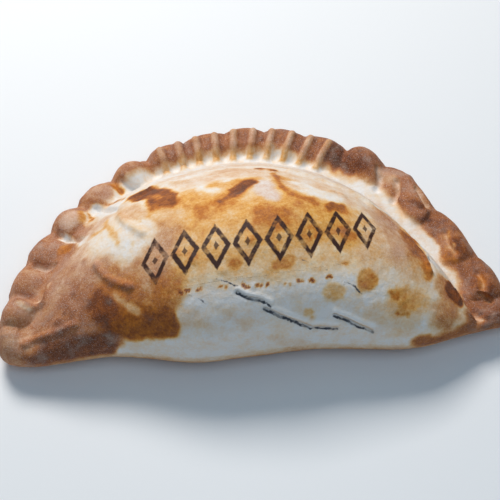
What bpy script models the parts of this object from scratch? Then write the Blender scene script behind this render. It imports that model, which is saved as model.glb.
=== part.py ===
"""A baked empanada: a half-moon pastry parcel, shut along its curved edge by a row of pinched crimps.

Metres, +Z up. The parcel lies flat on the plane z = 0, with the origin under the middle of its box. X runs
from the left tip to the right tip, and Y from the fold, which is the nearly straight front edge, to the
crimped rim at the back. The pastry is shut, so it is one solid.

The solid starts as a UV sphere whose two poles are the tips. Its rings become slices across the parcel, and
each slice is laid on the half-moon plan and lifted to the height that the functions below give.
"""

import math

import bmesh
import bpy
import numpy as np

# --- Driving dimensions ---------------------------------------------------------------------------------

LENGTH = 0.138            # tip to tip
RIM_DEPTH = 0.0670        # from the line between the tips back to the rim's mean edge
BELLY_HEIGHT = 0.0340     # top of the filled part above the tray
BELLY_PEAK = 0.41         # where that top is, as a share of the way from the fold to the trough
BELLY_FULLNESS = 2.15     # how full the side over the fold is: 2 is an ellipse
BELLY_FOOT = 0.0050       # how far the belly runs out softly before the trough
BELLY_LEFT_END = 0.0630   # where the filling ends, measured from the middle
BELLY_RIGHT_END = 0.0565
LEFT_HORN_TOP = 0.0125    # top of the dough at the left tip
RIGHT_HORN_TOP = 0.0088   # the right horn is thinner
LEFT_DRAWN_IN = 1.19      # 1 is a half ellipse; above it the edge runs straighter to the tip
RIGHT_DRAWN_IN = 1.46

SHOULDER_ANGLE = math.radians(54)    # where the filling pushes the rim out
SHOULDER_SPREAD = math.radians(13)
SHOULDER_BULGE = 0.0021

FOLD_MIDDLE = 0.0115      # height at which the fold reaches furthest forwards
FOLD_ROUNDING = 0.0110    # radius of the fold's underside
FOLD_SHOULDER = 0.0060    # radius of its upper side where the belly is low
FOLD_LIP = 0.0016          # the belly's skin starts this close behind the fold's edge
FOLD_REACH = 0.0120       # how far in from the fold its height still counts
FOLD_LINE = (             # X as a share of half the length, and Y of the fold there
    (-0.95, -0.0036),     # left horn, turned forwards
    (-0.55, -0.0015),
    (-0.25, -0.0054),     # the filling swells the fold most here
    (0.20, -0.0026),
    (0.58, -0.0042),
    (0.80, 0.0004),       # right horn, turned back
    (0.98, 0.0026),
)
TIP_SIDE = 0.0040         # Y of the two tips, midway across their horns

RIM_LEFT_WIDTH = 0.0078   # from the outer edge to the trough behind the belly
RIM_RIGHT_WIDTH = 0.0137
RIM_TOP = 0.0085          # top of the rim between the crimps
RIM_MIDDLE = 0.0048       # height of the rim's outermost line
RIM_ROUNDING = 0.0038     # radius of the rim's outer edge
RIM_LIFT = 0.0016         # how far the rim's edge curls up off the tray
TROUGH_TOP = 0.0068       # bottom of the trough between rim and belly
TROUGH_FILL = 0.0042      # how much the dough fills that trough near the left tip
BLEND = 0.0011            # how softly belly and rim run into each other

CRIMPS = 16               # pinches round the curved edge
FIRST_CRIMP = math.radians(171.5)
CRIMP_STEP = math.radians(10.1)
WIDE_AFTER = 11.5         # counted from the left tip, the pinches after this one are wider
WIDE_STEP = math.radians(14.7)
SCALLOP_DEPTH = 0.0021    # how far the edge dips between two crimps
KNUCKLE_RISE = 0.0036     # how far a crimp's knuckle stands above the rim
KNUCKLE_CENTRE = 0.0052   # its distance in from the outer edge
KNUCKLE_REACH = 0.0062    # half its length across the rim
KNUCKLE_SLANT = 0.20      # how far it leans along the rim, in crimps for each reach
WIDE_SHIFT = 0.22         # how far a wide pinch drags its knuckle on, in crimps

STAMP_START = math.radians(69)    # the flat stretch of rim that a mould presses
STAMP_END = math.radians(114)
STAMP_BLEND = math.radians(5)
STAMP_RISE = 0.0012       # it stands this much above the pinches between the knuckles
STAMP_FLATTENS = 0.50      # and the scallops of its edge are this much shallower

RINGS = 120               # slices from tip to tip
POINTS_ROUND = 40         # points round each slice
EDGE_CROWDING = 1.15      # above 1 puts more of a slice's points near the rim
TROUGH_SHARE = 0.225      # the share of them that lies on the rim, outside the trough

HALF_LENGTH = LENGTH / 2


# --- Small curves that the form is built from -----------------------------------------------------------

def smooth_step(low, high, value):
    """0 below low, 1 above high and a smooth S between them."""
    share = np.clip((value - low) / (high - low), 0, 1)
    return share * share * (3 - 2 * share)


def quarter_round(distance, radius):
    """Rises from 0 at an edge to 1 at one radius inside it, as a quarter circle does."""
    share = np.clip(distance / radius, 0, 1)
    return np.sqrt(1 - (1 - share) ** 2)


def smooth_line(value, places, heights):
    """A smooth curve through a few points: straight lines, averaged over a short stretch each side."""
    steps = np.linspace(-0.12, 0.12, 25)
    weights = 1 - np.abs(steps) / 0.13
    lines = [weight * np.interp(value + step, places, heights) for step, weight in zip(steps, weights)]
    return sum(lines) / weights.sum()


# --- The row of crimps ----------------------------------------------------------------------------------

def crimp_phase(angle):
    """Which crimp an angle belongs to, and where in it: -0.5 and 0.5 are its two pinches, 0 its middle."""
    wide_angle = FIRST_CRIMP - WIDE_AFTER * CRIMP_STEP
    narrow = (FIRST_CRIMP - angle) / CRIMP_STEP
    wide = WIDE_AFTER + (wide_angle - angle) / WIDE_STEP
    turns = np.where(angle > wide_angle, narrow, wide)
    crimp = np.clip(np.round(turns), 0, CRIMPS - 1)
    return crimp, np.clip(turns - crimp, -0.5, 0.5)


def crimp_size(crimp):
    """No two pinches are alike: a size near 1 for each crimp."""
    return 1 + 0.22 * np.sin(2.3 * crimp + 1.1)


def knuckle(angle, inside):
    """The pillow of dough that each pinch leaves on the rim, from 0 to 1."""
    crimp, phase = crimp_phase(angle)
    across = (inside - KNUCKLE_CENTRE) / KNUCKLE_REACH
    dragged = KNUCKLE_SLANT * across + WIDE_SHIFT * (crimp > WIDE_AFTER)
    leaning = phase - dragged * (1 - 4 * phase ** 2)
    pillow = np.clip(1 - (2 * leaning) ** 2 - across ** 2, 0, 1) ** 0.8
    return pillow * crimp_size(crimp)


def stamped(angle):
    """1 on the stretch of rim that the mould has flattened, 0 elsewhere."""
    rise = smooth_step(STAMP_START - STAMP_BLEND, STAMP_START + STAMP_BLEND, angle)
    fall = smooth_step(STAMP_END - STAMP_BLEND, STAMP_END + STAMP_BLEND, angle)
    return rise * (1 - fall)


# --- The half-moon plan ---------------------------------------------------------------------------------

def drawn_in(x):
    """How far the rim departs from a half ellipse: more to the right, so that horn is the sharper one."""
    return LEFT_DRAWN_IN + (RIGHT_DRAWN_IN - LEFT_DRAWN_IN) * smooth_step(-HALF_LENGTH, HALF_LENGTH, x)


def rim_width(x):
    """Distance from the rim's outer edge in to the trough."""
    share = smooth_step(-0.9, 1.3, x / HALF_LENGTH)
    return RIM_LEFT_WIDTH + (RIM_RIGHT_WIDTH - RIM_LEFT_WIDTH) * share


def plain_reach(angle):
    """The rim's mean edge as a multiple of the plain outline, with the one shoulder that bulges."""
    return 1 + SHOULDER_BULGE / HALF_LENGTH * np.exp(-((angle - SHOULDER_ANGLE) / SHOULDER_SPREAD) ** 2)


def edge_reach(angle):
    """The outer edge itself: round scallops with sharp dips, leaning over where the pinches are wide."""
    crimp, phase = crimp_phase(angle)
    leaning = phase + WIDE_SHIFT * (crimp > WIDE_AFTER) * (1 - 4 * phase ** 2)
    hump = np.cos(math.pi * leaning) ** 0.75
    dip = SCALLOP_DEPTH * crimp_size(crimp) * (hump - 0.6) * (1 - STAMP_FLATTENS * stamped(angle))
    return plain_reach(angle) + dip * np.sin(angle) ** 0.9 / HALF_LENGTH


def front_line(x):
    """Y of the fold: a smooth line through its few points, turned back to each tip by a round corner."""
    share = np.clip(x / HALF_LENGTH, -1, 1)
    places, sides = np.array(FOLD_LINE).T
    corner = np.sqrt(1 - np.abs(share) ** 14)
    return TIP_SIDE + (smooth_line(share, places, sides) - TIP_SIDE) * corner


def trough_line(x):
    """Y of the trough, where the belly ends at the back."""
    along = np.clip(x / np.where(x < 0, BELLY_LEFT_END, BELLY_RIGHT_END), -1, 1)
    return TIP_SIDE + (RIM_DEPTH - rim_width(x)) * (1 - along ** 2) ** (drawn_in(x) / 2)


def rim_coordinates(x, y):
    """Angle round the curved edge, distance in from its scallops, and distance in from the plain edge."""
    along = x / HALF_LENGTH
    power = drawn_in(x)
    back = (np.maximum(y - TIP_SIDE, 0) / RIM_DEPTH) ** (1 / power)
    angle = np.arctan2(back, along)
    reach = np.hypot(along, back)
    slope = np.hypot(np.cos(angle) / HALF_LENGTH, np.sin(angle) ** (2 - power) / (power * RIM_DEPTH))
    inside = np.maximum((edge_reach(angle) - reach) / slope, 0)
    plain = np.maximum((plain_reach(angle) - reach) / slope, 0)
    return angle, inside, plain


# --- Heights over the plan ------------------------------------------------------------------------------

def trough_top(x):
    """Height of the trough, which fills up towards the left tip."""
    return TROUGH_TOP + TROUGH_FILL * smooth_step(0.40, 0.92, -x / HALF_LENGTH)


def fold_middle(x):
    """Height of the fold's foremost line, lower at the horns."""
    share = np.clip(np.abs(x) / HALF_LENGTH, 0, 1)
    return RIM_MIDDLE + (FOLD_MIDDLE - RIM_MIDDLE) * (1 - share ** 3)


def middle_height(x, front):
    """Height of the line where the upper and lower skins meet, followed a little way in from the fold."""
    return RIM_MIDDLE + (fold_middle(x) - RIM_MIDDLE) * (1 - smooth_step(0, FOLD_REACH, front))


def rim_top(x, angle, inside, plain):
    """The rim's upper side, from its outer edge in to the trough."""
    horn = np.where(x < 0, smooth_step(0.70, 0.98, -x / HALF_LENGTH), smooth_step(0.80, 0.99, x / HALF_LENGTH))
    horn_top = np.where(x < 0, LEFT_HORN_TOP, RIGHT_HORN_TOP)
    flat = stamped(angle)
    crest = RIM_TOP + STAMP_RISE * flat + (horn_top - RIM_TOP) * horn
    knuckles = KNUCKLE_RISE * (1 - 0.85 * flat) * (1 - 0.35 * horn) * knuckle(angle, inside)
    width = rim_width(x)
    fall = smooth_step(0.45 * width, width, plain) * (1 - horn)
    return crest + knuckles - (crest - trough_top(x)) * fall


def belly_top(x, y, front):
    """The filled part: steep and round at the fold, longer and softer towards the trough."""
    behind = np.maximum(trough_line(x) - y, 0)
    share = front / np.maximum(front + behind, 1e-6)
    near = (1 - np.clip(1 - share / BELLY_PEAK, 0, 1) ** BELLY_FULLNESS) ** (1 / BELLY_FULLNESS)
    far = (1 - np.clip((share - BELLY_PEAK) / (1 - BELLY_PEAK), 0, 1) ** 1.7) ** 1.15
    profile = np.where(share < BELLY_PEAK, near, far)
    along = np.clip(x / np.where(x < 0, BELLY_LEFT_END, BELLY_RIGHT_END), -1, 1)
    ridge = (BELLY_HEIGHT - FOLD_MIDDLE) * (1 - along ** 2) ** 0.85
    base = fold_middle(x) * (1 - share) + trough_top(x) * share
    return base + (ridge + fold_middle(x) - base) * profile * smooth_step(0, BELLY_FOOT, behind)


def lumps(x, y):
    """The filling's slow unevenness under the dough."""
    wide = np.sin(x * 88 + 1.7) * np.cos(y * 74 - 0.6)
    small = np.sin(x * 171 - y * 120 + 0.5) * np.cos(y * 143 + x * 40)
    return 0.0007 * wide + 0.0004 * small


def top_height(x, y):
    """Upper surface of the parcel over a point of the plan."""
    angle, inside, plain = rim_coordinates(x, y)
    front = np.maximum(y - front_line(x), 0)
    shoulder = quarter_round(front, FOLD_SHOULDER)
    middle = middle_height(x, front)
    rise = np.maximum(rim_top(x, angle, inside, plain) - middle, 0)
    rim = middle + rise * quarter_round(inside, RIM_ROUNDING) * shoulder
    width = rim_width(x)
    filled = smooth_step(0.6 * width, 1.6 * width, plain)
    belly = belly_top(x, y, front) + lumps(x, y) * filled * shoulder
    softened = np.log1p(np.exp((belly - rim) / BLEND)) * BLEND
    return rim + softened * smooth_step(0, 0.003, inside) * quarter_round(front, FOLD_LIP)


def bottom_height(x, y):
    """Underside: flat on the tray, rounded up to the fold, and curled up a little at the rim."""
    _, inside, _ = rim_coordinates(x, y)
    front = np.maximum(y - front_line(x), 0)
    width = rim_width(x)
    lift = RIM_LIFT * (1 - smooth_step(0.3 * width, 1.3 * width, inside))
    edge = quarter_round(inside, RIM_ROUNDING) * quarter_round(front, FOLD_ROUNDING)
    middle = middle_height(x, front)
    return middle + (lift - middle) * edge


# --- From sphere to parcel ------------------------------------------------------------------------------

def parcel_points(sphere):
    """Moves the points of a unit sphere, with its poles on X, to the parcel's skin.

    Each slice runs from the rim in to the trough, square to the rim, and from there straight to the fold.
    """
    angle = np.arccos(np.clip(sphere[:, 0], -1, 1))
    turn = np.arctan2(sphere[:, 2], sphere[:, 1])
    share = ((1 - np.cos(turn)) / 2) ** EDGE_CROWDING
    reach = edge_reach(angle)
    rim_x = HALF_LENGTH * np.cos(angle) * reach
    rim_y = TIP_SIDE + RIM_DEPTH * (np.sin(angle) * reach) ** drawn_in(rim_x)
    width = rim_width(rim_x) * smooth_step(0, math.radians(28), np.minimum(angle, math.pi - angle))
    trough_x = (HALF_LENGTH - width) * np.cos(angle)
    trough_y = TIP_SIDE + (RIM_DEPTH - width) * np.sin(angle) ** drawn_in(trough_x)
    outer = np.clip(share / TROUGH_SHARE, 0, 1)
    inner = np.clip((share - TROUGH_SHARE) / (1 - TROUGH_SHARE), 0, 1)
    x = rim_x + (trough_x - rim_x) * outer
    y = rim_y + (trough_y - rim_y) * outer + (front_line(trough_x) - trough_y) * inner
    z = np.where(turn >= 0, top_height(x, y), bottom_height(x, y))
    return np.column_stack((x, y, z))


def make_parcel(name, material):
    """The pastry as one closed mesh object, centred over the origin and standing on z = 0."""
    bm = bmesh.new()
    bmesh.ops.create_uvsphere(bm, u_segments=POINTS_ROUND, v_segments=RINGS, radius=1)
    sphere = np.array([(vert.co.z, vert.co.x, vert.co.y) for vert in bm.verts])
    points = parcel_points(sphere)
    low, high = points.min(axis=0), points.max(axis=0)
    points -= ((low[0] + high[0]) / 2, (low[1] + high[1]) / 2, low[2])
    for vert, point in zip(bm.verts, points):
        vert.co = point
    bmesh.ops.recalc_face_normals(bm, faces=bm.faces)
    mesh = bpy.data.meshes.new(name)
    bm.to_mesh(mesh)
    bm.free()
    mesh.shade_smooth()
    mesh.materials.append(material)
    return bpy.data.objects.new(name, mesh)


def make_material(name, colour, roughness):
    """A plain Principled material."""
    material = bpy.data.materials.new(name)
    material.use_nodes = True
    shader = material.node_tree.nodes["Principled BSDF"]
    shader.inputs["Base Color"].default_value = (*colour, 1)
    shader.inputs["Roughness"].default_value = roughness
    shader.inputs["Metallic"].default_value = 0
    return material


def main():
    for obj in list(bpy.data.objects):
        bpy.data.objects.remove(obj)
    collection = bpy.data.collections.new("empanada_parts")
    bpy.context.scene.collection.children.link(collection)
    crust = make_material("baked_crust", (0.60, 0.36, 0.17), 0.62)
    collection.objects.link(make_parcel("empanada", crust))


main()
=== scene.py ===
# %% [markdown]
# # A baked empanada
# An empanada is a round of dough, folded over a filling and pinched shut along its curved edge. The oven
# browns it unevenly: thin and raised dough goes brown first, and thick, damp dough stays pale. The lesson
# builds the crust as one closed mesh, presses its cracks, creases and ribs in with Geometry Nodes, paints how
# far each place is baked as attributes on the mesh, and lets one material turn those into colour.

# %% Load the frame
import math
import bmesh
import bpy
import numpy as np
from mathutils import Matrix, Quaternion, Vector, noise


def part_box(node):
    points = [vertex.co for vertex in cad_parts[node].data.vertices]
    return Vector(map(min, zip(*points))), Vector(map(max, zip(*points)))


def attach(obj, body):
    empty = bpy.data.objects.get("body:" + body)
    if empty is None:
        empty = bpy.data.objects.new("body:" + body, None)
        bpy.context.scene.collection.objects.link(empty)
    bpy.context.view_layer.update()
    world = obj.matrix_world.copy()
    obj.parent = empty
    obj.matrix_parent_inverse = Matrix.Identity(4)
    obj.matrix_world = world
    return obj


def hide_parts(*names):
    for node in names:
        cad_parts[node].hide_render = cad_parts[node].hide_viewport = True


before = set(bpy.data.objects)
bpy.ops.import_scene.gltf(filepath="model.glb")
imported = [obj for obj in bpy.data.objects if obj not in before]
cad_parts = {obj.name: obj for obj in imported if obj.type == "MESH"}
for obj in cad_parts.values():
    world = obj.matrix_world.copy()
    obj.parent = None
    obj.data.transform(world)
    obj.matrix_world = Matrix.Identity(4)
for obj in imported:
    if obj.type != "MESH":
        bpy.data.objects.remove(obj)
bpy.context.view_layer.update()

scene = bpy.context.scene
low, high = (np.array(corner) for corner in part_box("empanada"))

# %% [markdown]
# ## Camera
# Food is often shown from rather high up, with a longish lens so that the near edge isn't swollen.
# The camera is aimed by angles round the parcel instead of by typed coordinates, because an angle is what one
# would change.

# %% Camera
AZIMUTH, ELEVATION, ROLL = math.radians(-3.75), math.radians(58), math.radians(0.5)
CAMERA_DISTANCE = 0.3168
AIM = Vector((-0.0015, -0.0070, 0.0120))

camera = bpy.data.objects.new("camera", bpy.data.cameras.new("camera"))
camera.data.lens = 85
camera.data.sensor_width = 36
towards_camera = Vector((
    math.sin(AZIMUTH) * math.cos(ELEVATION), -math.cos(AZIMUTH) * math.cos(ELEVATION), math.sin(ELEVATION)))
camera.location = AIM + towards_camera * CAMERA_DISTANCE
camera.rotation_mode = "QUATERNION"
camera.rotation_quaternion = (-towards_camera).to_track_quat("-Z", "Y") @ Quaternion((0, 0, 1), ROLL)
scene.collection.objects.link(camera)
scene.camera = camera
print("camera", round(CAMERA_DISTANCE * 1000), "mm away,", round(math.degrees(ELEVATION)), "degrees up")

# %% [markdown]
# ## Floor and light
# The key light hangs behind the parcel, so the folded front falls into soft shade and the creases on top
# throw small shadows forwards. A weak cool light in front keeps that shade from going black. The floor is a
# plain pale sheet.

# %% Floor and light
def soft_light(name, place, size, power, colour):
    light = bpy.data.lights.new(name, "AREA")
    light.size, light.energy, light.color = size, power, colour
    lamp = bpy.data.objects.new(name, light)
    lamp.location = place
    lamp.rotation_mode = "QUATERNION"
    lamp.rotation_quaternion = (-Vector(place)).to_track_quat("-Z", "Y")
    scene.collection.objects.link(lamp)

soft_light("key_light", (-0.12, 0.33, 0.44), 0.20, 2.9, (1.0, 0.965, 0.925))
soft_light("front_fill", (0.06, -0.26, 0.60), 0.36, 1.0, (0.57, 0.79, 1.0))

world = bpy.data.worlds.new("studio")
scene.world = world
world.use_nodes = True
world.node_tree.nodes["Background"].inputs["Color"].default_value = (0.78, 0.89, 1.0, 1)
world.node_tree.nodes["Background"].inputs["Strength"].default_value = 0.17
scene.view_settings.view_transform = "Standard"

floor_form = bmesh.new()
bmesh.ops.create_grid(floor_form, x_segments=8, y_segments=8, size=1.5)
for vert in floor_form.verts:
    vert.co.z = -0.0003
floor_mesh = bpy.data.meshes.new("floor")
floor_form.to_mesh(floor_mesh)
floor_form.free()
floor = bpy.data.objects.new("floor", floor_mesh)
scene.collection.objects.link(floor)
floor_paint = bpy.data.materials.new("floor_paint")
floor_paint.use_nodes = True
floor_shader = floor_paint.node_tree.nodes["Principled BSDF"]
floor_shader.inputs["Base Color"].default_value = (0.84, 0.85, 0.86, 1)
floor_shader.inputs["Roughness"].default_value = 0.9
floor_mesh.materials.append(floor_paint)
print("floor and two lights are up")

# %% [markdown]
# ## Small curves for the form
# The crust could be sculpted, but its shape follows a few rules: a half-moon plan, a belly over it, a rim
# round it and a wave of pinches along the rim. Rules are exact, quick to change and give the same mesh each
# time. These three curves are what the rules are made of. NumPy runs them for every point at once.

# %% Small curves
def smooth_step(start, end, value):
    share = np.clip((value - start) / (end - start), 0, 1)
    return share * share * (3 - 2 * share)

def quarter_round(distance, radius):
    share = np.clip(distance / radius, 0, 1)
    return np.sqrt(1 - (1 - share) ** 2)

def smooth_line(value, places, heights):
    steps = np.linspace(-0.12, 0.12, 25)
    weights = 1 - np.abs(steps) / 0.13
    lines = [weight * np.interp(value + step, places, heights) for step, weight in zip(steps, weights)]
    return sum(lines) / weights.sum()

print("half way up the smooth step:", smooth_step(0, 1, 0.5))

# %% [markdown]
# ## The pinches
# Someone pinches the edge shut from one tip to the other. Every pinch leaves a knuckle of dough and pulls the
# outline in on both sides of it. The angle round the edge is divided into pinches, and the phase tells where
# in its pinch a point is. The last few, at the right, are wider and dragged along. A mould has pressed the
# middle stretch flat.

# %% Pinches
HALF_LENGTH = float(high[0] - low[0]) / 2
PINCHES, FIRST_PINCH, PINCH_STEP = 16, math.radians(171.5), math.radians(10.1)
WIDE_AFTER, WIDE_STEP, WIDE_SHIFT = 11.5, math.radians(14.7), 0.22
SCALLOP_DEPTH = 0.0021
KNUCKLE_RISE, KNUCKLE_CENTRE, KNUCKLE_REACH, KNUCKLE_SLANT = 0.0036, 0.0052, 0.0062, 0.20
STAMP_START, STAMP_END, STAMP_BLEND = math.radians(69), math.radians(114), math.radians(5)
STAMP_FLATTENS = 0.50

def pinch_phase(angle):
    wide_angle = FIRST_PINCH - WIDE_AFTER * PINCH_STEP
    turns = np.where(
        angle > wide_angle, (FIRST_PINCH - angle) / PINCH_STEP, WIDE_AFTER + (wide_angle - angle) / WIDE_STEP)
    pinch = np.clip(np.round(turns), 0, PINCHES - 1)
    return pinch, np.clip(turns - pinch, -0.5, 0.5)

def pinch_size(pinch):
    return 1 + 0.22 * np.sin(2.3 * pinch + 1.1)

def knuckle(angle, inside):
    pinch, phase = pinch_phase(angle)
    across = (inside - KNUCKLE_CENTRE) / KNUCKLE_REACH
    dragged = KNUCKLE_SLANT * across + WIDE_SHIFT * (pinch > WIDE_AFTER)
    leaning = phase - dragged * (1 - 4 * phase ** 2)
    return np.clip(1 - (2 * leaning) ** 2 - across ** 2, 0, 1) ** 0.8 * pinch_size(pinch)

def stamped(angle):
    rise = smooth_step(STAMP_START - STAMP_BLEND, STAMP_START + STAMP_BLEND, angle)
    return rise * (1 - smooth_step(STAMP_END - STAMP_BLEND, STAMP_END + STAMP_BLEND, angle))

print(PINCHES, "pinches, the narrow ones", round(math.degrees(PINCH_STEP), 1), "degrees apart")

# %% [markdown]
# ## The half-moon plan
# Seen from above, the rim is a half ellipse that runs straighter towards its tips, more so at the right. The
# fold in front is nearly straight and swells where the filling presses on it. Every point gets an angle round
# the rim and its distances in from the scalloped edge and from the plain one.

# %% Plan
RIM_DEPTH, TIP_SIDE = 0.0670, 0.0040
LEFT_DRAWN_IN, RIGHT_DRAWN_IN = 1.19, 1.46
SHOULDER_ANGLE, SHOULDER_SPREAD, SHOULDER_BULGE = math.radians(54), math.radians(13), 0.0021
RIM_LEFT_WIDTH, RIM_RIGHT_WIDTH = 0.0078, 0.0137
BELLY_LEFT_END, BELLY_RIGHT_END = 0.0630, 0.0565
FOLD_LINE = ((-0.95, -0.0036), (-0.55, -0.0015), (-0.25, -0.0054), (0.20, -0.0026), (0.58, -0.0042),
             (0.80, 0.0004), (0.98, 0.0026))

def drawn_in(x):
    return LEFT_DRAWN_IN + (RIGHT_DRAWN_IN - LEFT_DRAWN_IN) * smooth_step(-HALF_LENGTH, HALF_LENGTH, x)

def rim_width(x):
    return RIM_LEFT_WIDTH + (RIM_RIGHT_WIDTH - RIM_LEFT_WIDTH) * smooth_step(-0.9, 1.3, x / HALF_LENGTH)

def plain_reach(angle):
    return 1 + SHOULDER_BULGE / HALF_LENGTH * np.exp(-((angle - SHOULDER_ANGLE) / SHOULDER_SPREAD) ** 2)

def edge_reach(angle):
    pinch, phase = pinch_phase(angle)
    leaning = phase + WIDE_SHIFT * (pinch > WIDE_AFTER) * (1 - 4 * phase ** 2)
    dip = SCALLOP_DEPTH * pinch_size(pinch) * (np.cos(math.pi * leaning) ** 0.75 - 0.6)
    dip = dip * (1 - STAMP_FLATTENS * stamped(angle))
    return plain_reach(angle) + dip * np.sin(angle) ** 0.9 / HALF_LENGTH

def front_line(x):
    share = np.clip(x / HALF_LENGTH, -1, 1)
    corner = np.sqrt(1 - np.abs(share) ** 14)
    return TIP_SIDE + (smooth_line(share, *np.array(FOLD_LINE).T) - TIP_SIDE) * corner

def belly_along(x):
    return np.clip(x / np.where(x < 0, BELLY_LEFT_END, BELLY_RIGHT_END), -1, 1)

def trough_line(x):
    return TIP_SIDE + (RIM_DEPTH - rim_width(x)) * (1 - belly_along(x) ** 2) ** (drawn_in(x) / 2)

def rim_coordinates(x, y):
    power = drawn_in(x)
    back = (np.maximum(y - TIP_SIDE, 0) / RIM_DEPTH) ** (1 / power)
    angle = np.arctan2(back, x / HALF_LENGTH)
    reach = np.hypot(x / HALF_LENGTH, back)
    slope = np.hypot(np.cos(angle) / HALF_LENGTH, np.sin(angle) ** (2 - power) / (power * RIM_DEPTH))
    inside = np.maximum((edge_reach(angle) - reach) / slope, 0)
    return angle, inside, np.maximum((plain_reach(angle) - reach) / slope, 0)

print("the trough lies", round(float(trough_line(np.array(0.0))) * 1000, 1), "mm behind the line of the tips")

# %% [markdown]
# ## Heights
# Over each point of the plan the upper skin is the higher of two surfaces, rim and belly, run softly into
# each other. The underside is flat on the tray, rounded up to the fold, and curled up a little at the rim.

# %% Heights
BELLY_HEIGHT, BELLY_PEAK, BELLY_FULLNESS, BELLY_FOOT = 0.0340, 0.41, 2.15, 0.0050
LEFT_HORN_TOP, RIGHT_HORN_TOP = 0.0125, 0.0088
FOLD_MIDDLE, FOLD_ROUNDING, FOLD_SHOULDER, FOLD_REACH, FOLD_LIP = 0.0115, 0.0110, 0.0060, 0.0120, 0.0016
RIM_TOP, RIM_MIDDLE, RIM_ROUNDING, RIM_LIFT, STAMP_RISE = 0.0085, 0.0048, 0.0038, 0.0016, 0.0012
TROUGH_TOP, TROUGH_FILL, BLEND = 0.0068, 0.0042, 0.0011

def trough_top(x):
    return TROUGH_TOP + TROUGH_FILL * smooth_step(0.40, 0.92, -x / HALF_LENGTH)

def fold_middle(x):
    return RIM_MIDDLE + (FOLD_MIDDLE - RIM_MIDDLE) * (1 - np.clip(np.abs(x) / HALF_LENGTH, 0, 1) ** 3)

def middle_height(x, front):
    return RIM_MIDDLE + (fold_middle(x) - RIM_MIDDLE) * (1 - smooth_step(0, FOLD_REACH, front))

def rim_top(x, angle, inside, plain):
    left_horn = smooth_step(0.70, 0.98, -x / HALF_LENGTH)
    right_horn = smooth_step(0.80, 0.99, x / HALF_LENGTH)
    horn = left_horn + right_horn
    flat = stamped(angle)
    crest = RIM_TOP + STAMP_RISE * flat + (LEFT_HORN_TOP - RIM_TOP) * left_horn
    crest = crest + (RIGHT_HORN_TOP - RIM_TOP) * right_horn
    calm = 1 - 0.35 * smooth_step(0.15, 0.55, x / HALF_LENGTH)
    knuckles = KNUCKLE_RISE * calm * (1 - 0.85 * flat) * (1 - 0.35 * horn) * knuckle(angle, inside)
    width = rim_width(x)
    fall = smooth_step((0.45 + 0.25 * flat) * width, (1 + 0.10 * flat) * width, plain) * (1 - horn)
    return crest + knuckles - (crest - trough_top(x)) * fall

def belly_top(x, y, front):
    behind = np.maximum(trough_line(x) - y, 0)
    share = front / np.maximum(front + behind, 1e-6)
    near = (1 - np.clip(1 - share / BELLY_PEAK, 0, 1) ** BELLY_FULLNESS) ** (1 / BELLY_FULLNESS)
    far = (1 - np.clip((share - BELLY_PEAK) / (1 - BELLY_PEAK), 0, 1) ** 1.7) ** 1.15
    profile = np.where(share < BELLY_PEAK, near, far)
    ridge = (BELLY_HEIGHT - FOLD_MIDDLE) * (1 - belly_along(x) ** 2) ** 0.85
    base = fold_middle(x) * (1 - share) + trough_top(x) * share
    return base + (ridge + fold_middle(x) - base) * profile * smooth_step(0, BELLY_FOOT, behind)

def lumps(x, y):
    wide = np.sin(x * 88 + 1.7) * np.cos(y * 74 - 0.6)
    return 0.0007 * wide + 0.0004 * np.sin(x * 171 - y * 120 + 0.5) * np.cos(y * 143 + x * 40)

def top_height(x, y):
    angle, inside, plain = rim_coordinates(x, y)
    front = np.maximum(y - front_line(x), 0)
    shoulder = quarter_round(front, FOLD_SHOULDER)
    middle = middle_height(x, front)
    rise = np.maximum(rim_top(x, angle, inside, plain) - middle, 0)
    rim = middle + rise * quarter_round(inside, RIM_ROUNDING) * shoulder
    width = rim_width(x)
    belly = belly_top(x, y, front) + lumps(x, y) * smooth_step(0.6 * width, 1.6 * width, plain) * shoulder
    softened = np.log1p(np.exp((belly - rim) / BLEND)) * BLEND
    return rim + softened * smooth_step(0, 0.003, inside) * quarter_round(front, FOLD_LIP)

def bottom_height(x, y):
    inside = rim_coordinates(x, y)[1]
    front = np.maximum(y - front_line(x), 0)
    width = rim_width(x)
    lift = RIM_LIFT * (1 - smooth_step(0.3 * width, 1.3 * width, inside))
    edge = quarter_round(inside, RIM_ROUNDING) * quarter_round(front, FOLD_ROUNDING)
    middle = middle_height(x, front)
    return middle + (lift - middle) * edge

middle_top = top_height(np.array([0.0]), np.array([0.022]))
print("belly top over the middle:", round(float(middle_top[0]) * 1000, 1), "mm")

# %% [markdown]
# ## The crust mesh
# A shut parcel is a ball that has been flattened and bent, so the mesh starts as the grid of a ball with its
# poles at the two tips. Rings become slices from tip to tip. In each slice some points go over the top and
# fewer along the underside, where there is less to show. The finished points are moved a hair inside the
# frame's box, so that blisters and ribs can't stand out of it.

# %% Crust mesh
RINGS, POINTS_OVER, POINTS_UNDER = 420, 196, 30
EDGE_CROWDING, TROUGH_SHARE, TIPS_THINNED = 1.10, 0.150, 0.14
SHRINK = 0.9945

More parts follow.
